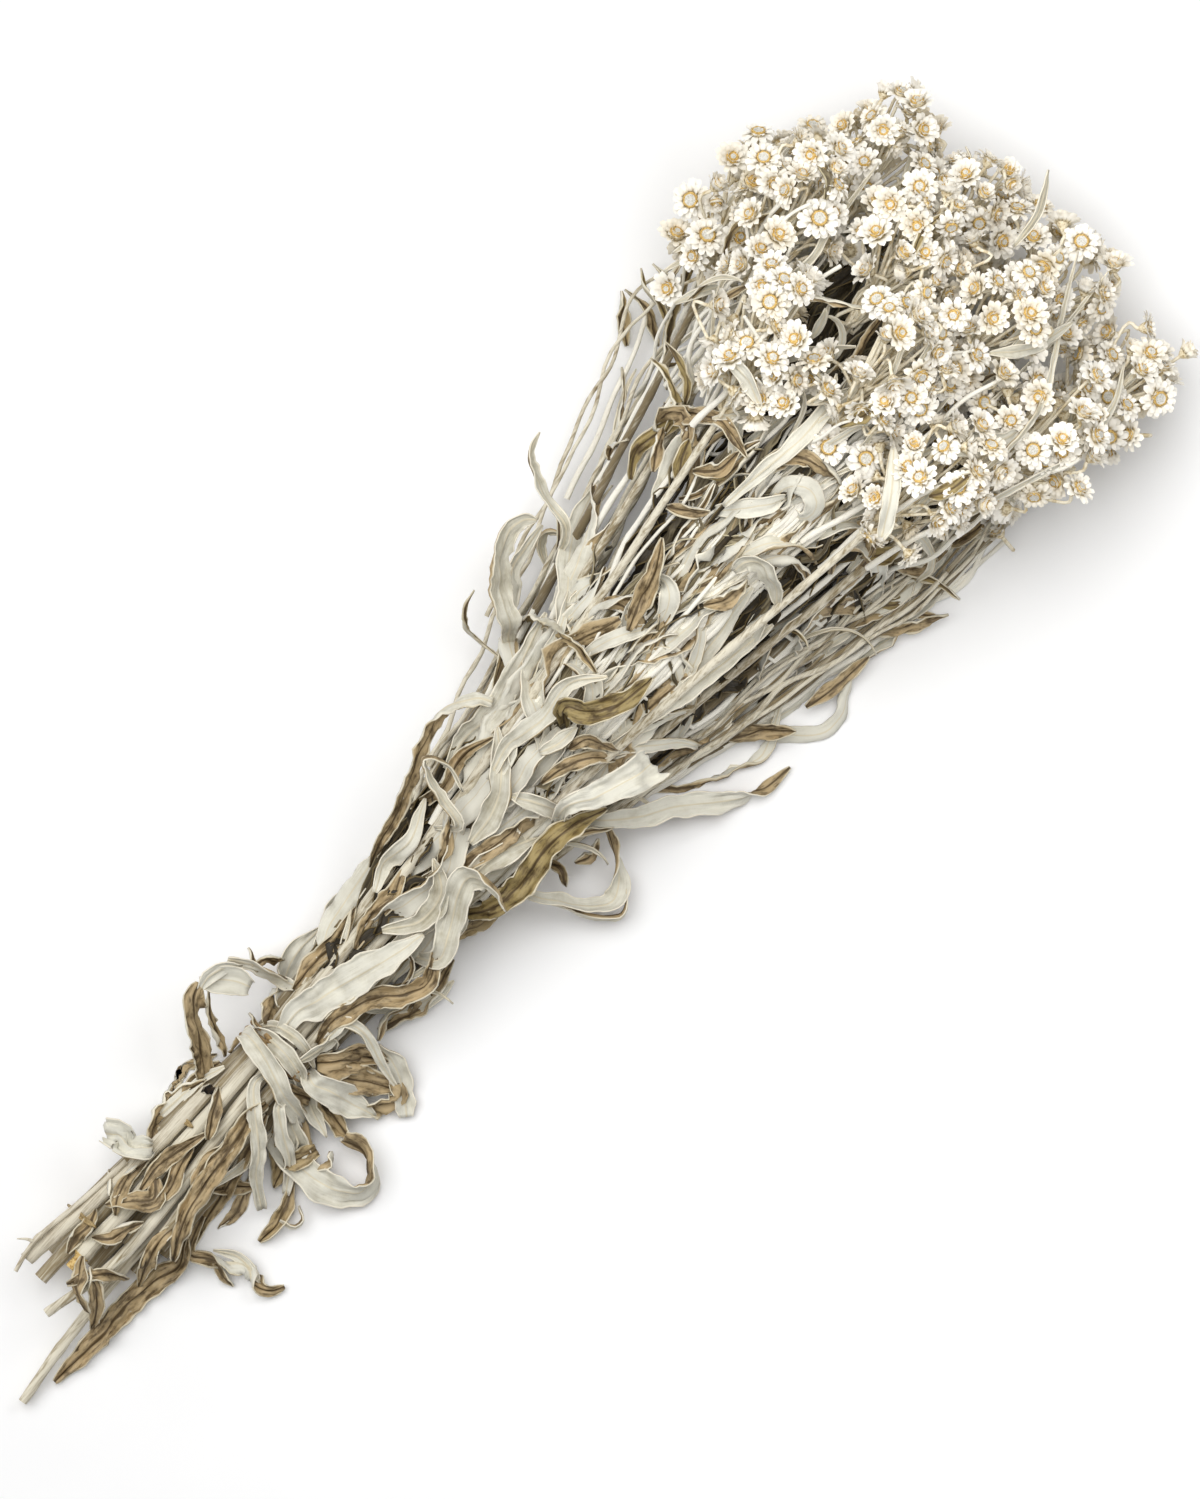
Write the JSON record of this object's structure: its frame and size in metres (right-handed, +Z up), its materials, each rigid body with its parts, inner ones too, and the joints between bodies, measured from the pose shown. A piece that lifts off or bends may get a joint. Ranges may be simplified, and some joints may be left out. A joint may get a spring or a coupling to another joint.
{
  "type": "bunch of dried pearly everlasting",
  "caption": "Dried pearly everlasting lying on its side: woolly stems tied near their cut ends, curled grey leaves and sprays of small papery white flower heads.",
  "frame": {"origin": "middle of the bunch's footprint, on the surface that it lies on", "axes": "+X along the bunch from the cut ends to the flowers, +Y across it, +Z up from the surface"},
  "size_m": [0.4009, 0.1281, 0.0888],
  "materials": {
    "stem": "matte",
    "weathered_stem": "matte",
    "flower": "matte",
    "pale_leaf": "matte",
    "brown_leaf": "matte",
    "olive_leaf": "matte",
    "twine": "matte"
  },
  "bodies": {
    "root": {"stem_01": "stem", "stem_02": "stem", "stem_03": "stem", "stem_04": "stem", "stem_05": "stem", "stem_06": "stem", "stem_07": "stem", "stem_08": "stem", "stem_09": "stem", "stem_10": "stem", "stem_11": "stem", "stem_12": "stem", "stem_13": "stem", "stem_14": "stem", "stem_15": "stem", "stem_16": "stem", "broken_stem": "weathered_stem", "spray_01": "flower", "spray_02": "flower", "spray_03": "flower", "spray_04": "flower", "spray_05": "flower", "spray_06": "flower", "spray_07": "flower", "spray_08": "flower", "spray_09": "flower", "spray_10": "flower", "spray_11": "flower", "spray_12": "flower", "spray_13": "flower", "spray_14": "flower", "spray_15": "flower", "spray_16": "flower", "tie": "twine", "ragged_leaf": "pale_leaf", "wrap_leaf": "pale_leaf", "wrap_strip_upper": "pale_leaf", "wrap_strip_lower": "pale_leaf", "big_pale_leaf": "pale_leaf", "floor_curl_leaf": "pale_leaf", "wide_hanging_leaf": "pale_leaf", "pale_strip": "pale_leaf", "mid_pale_leaf": "pale_leaf", "reaching_leaf": "pale_leaf", "narrow_loop_leaf": "pale_leaf", "cream_leaf": "pale_leaf", "pale_arch_leaf": "pale_leaf", "thorn_leaf": "pale_leaf", "floor_leaf": "brown_leaf", "hanging_leaf": "brown_leaf", "brown_wavy_leaf": "brown_leaf", "small_brown_leaf": "brown_leaf", "loop_leaf": "brown_leaf", "brown_hanging_leaf": "brown_leaf", "side_brown_leaf": "brown_leaf", "lower_loop_leaf": "brown_leaf", "upper_arch_leaf": "brown_leaf", "long_olive_leaf": "olive_leaf", "brown_top_leaf": "olive_leaf"}
  },
  "joints": []
}
